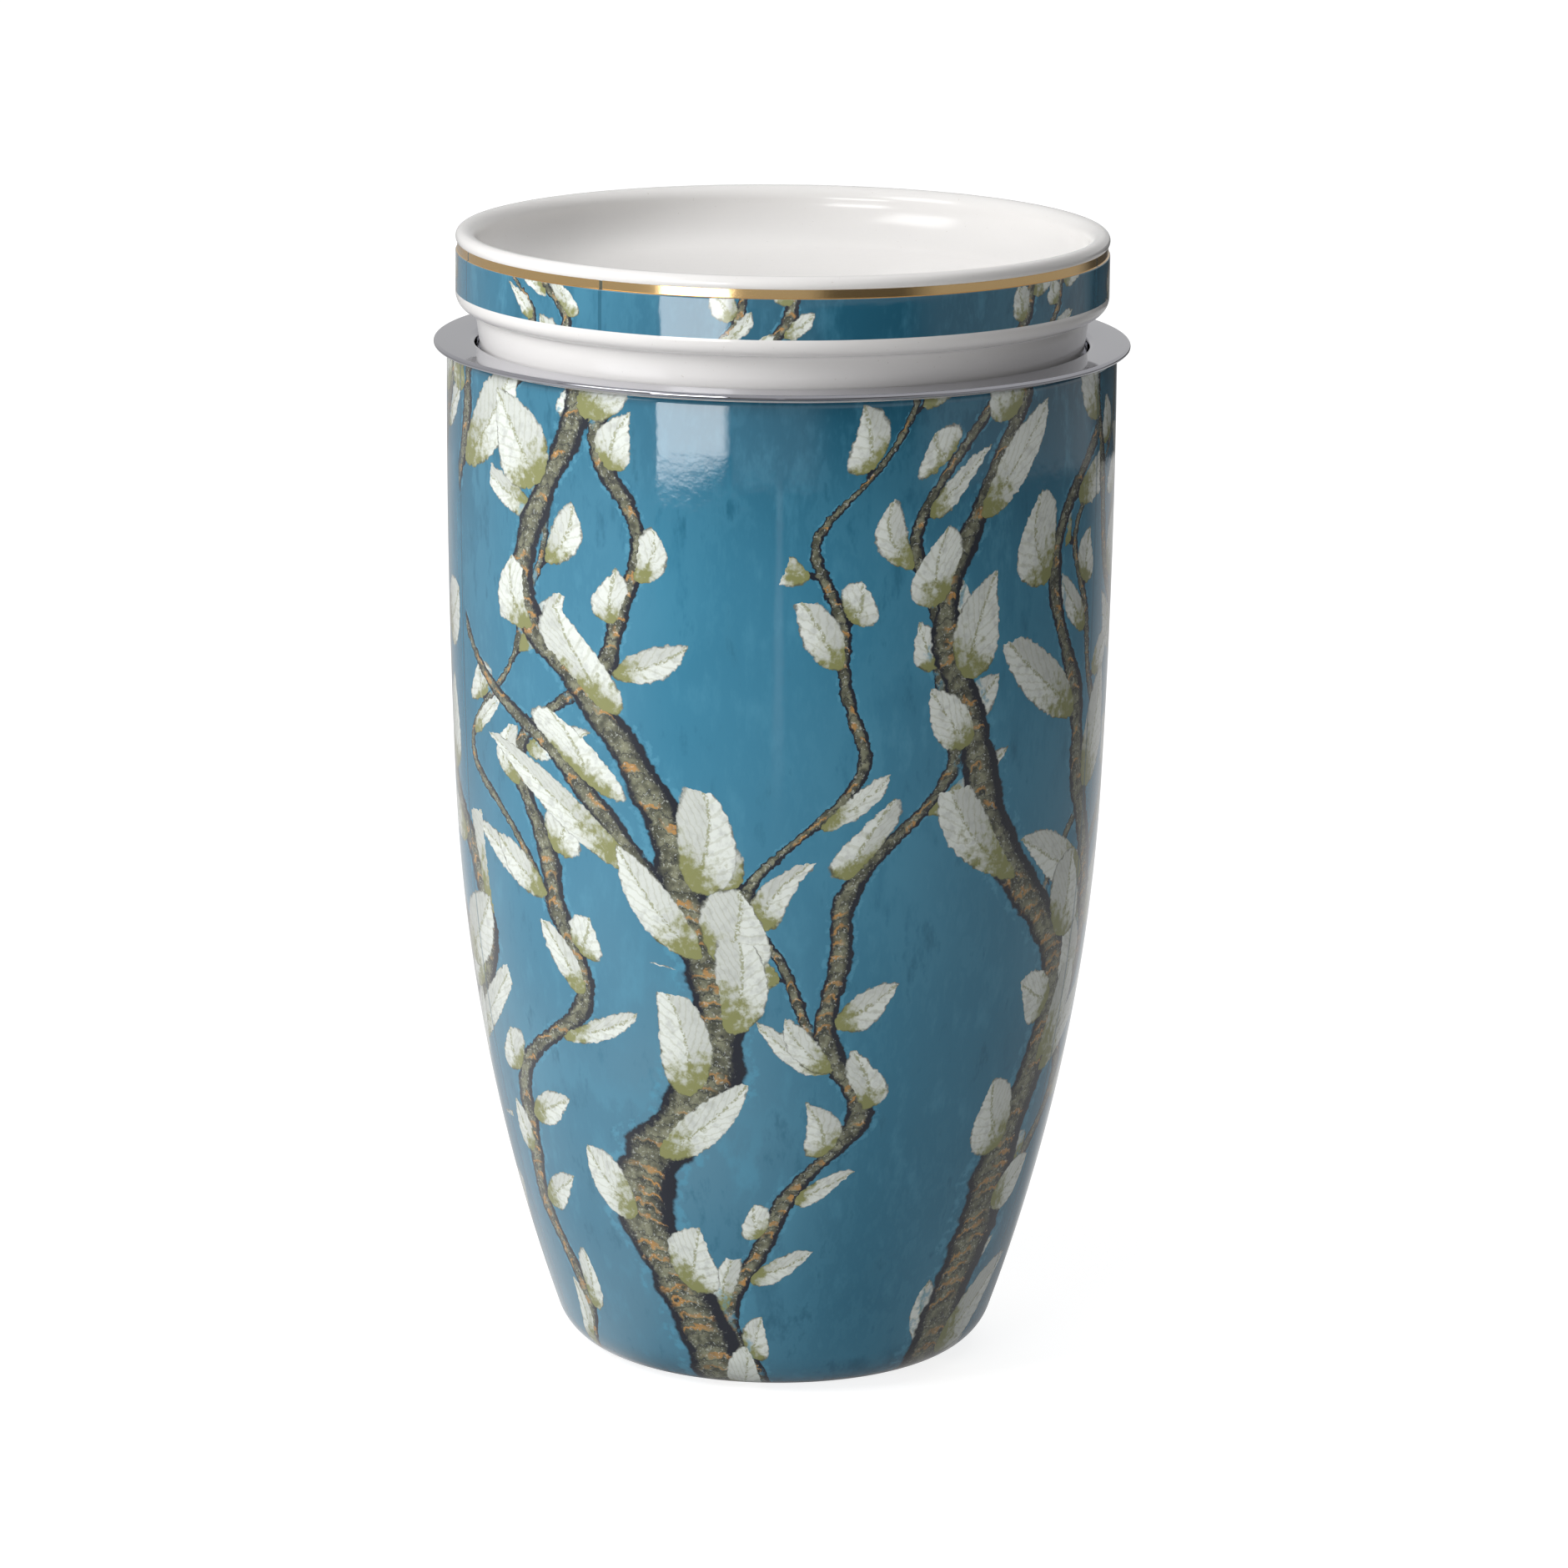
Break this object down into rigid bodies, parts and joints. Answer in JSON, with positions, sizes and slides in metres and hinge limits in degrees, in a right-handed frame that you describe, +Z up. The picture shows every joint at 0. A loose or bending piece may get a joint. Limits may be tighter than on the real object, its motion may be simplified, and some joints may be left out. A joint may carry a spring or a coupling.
{
  "type": "lidded tea mug with infuser",
  "caption": "Handle-less porcelain tea mug with a lift-out perforated steel infuser hung on its rim and a loose porcelain lid that doubles as a dish.",
  "frame": {"origin": "centre of the mug's foot, on the surface it stands on", "axes": "+Z up along the mug's axis; the sieve wall's seam faces +Y, away from a viewer who looks along +Y"},
  "size_m": [0.085, 0.085, 0.14],
  "materials": {
    "decorated_porcelain": "glossy glaze, teal decoration outside, white inside",
    "white_porcelain": "glossy white glaze with a decorated band",
    "polished_steel": "polished",
    "perforated_steel": "satin, perforated"
  },
  "bodies": {
    "mug": {"mug_body": "decorated_porcelain"},
    "infuser": {"infuser_brim": "polished_steel", "infuser_sleeve": "perforated_steel", "infuser_base": "perforated_steel"},
    "lid": {"lid": "white_porcelain"}
  },
  "joints": [
    {"name": "infuser_lift", "type": "slide", "parent": "mug", "child": "infuser", "axis": [0, 0, 1], "range_m": [0, 0.09]},
    {"name": "lid_lift", "type": "slide", "parent": "infuser", "child": "lid", "axis": [0, 0, 1], "range_m": [0, 0.06]}
  ]
}
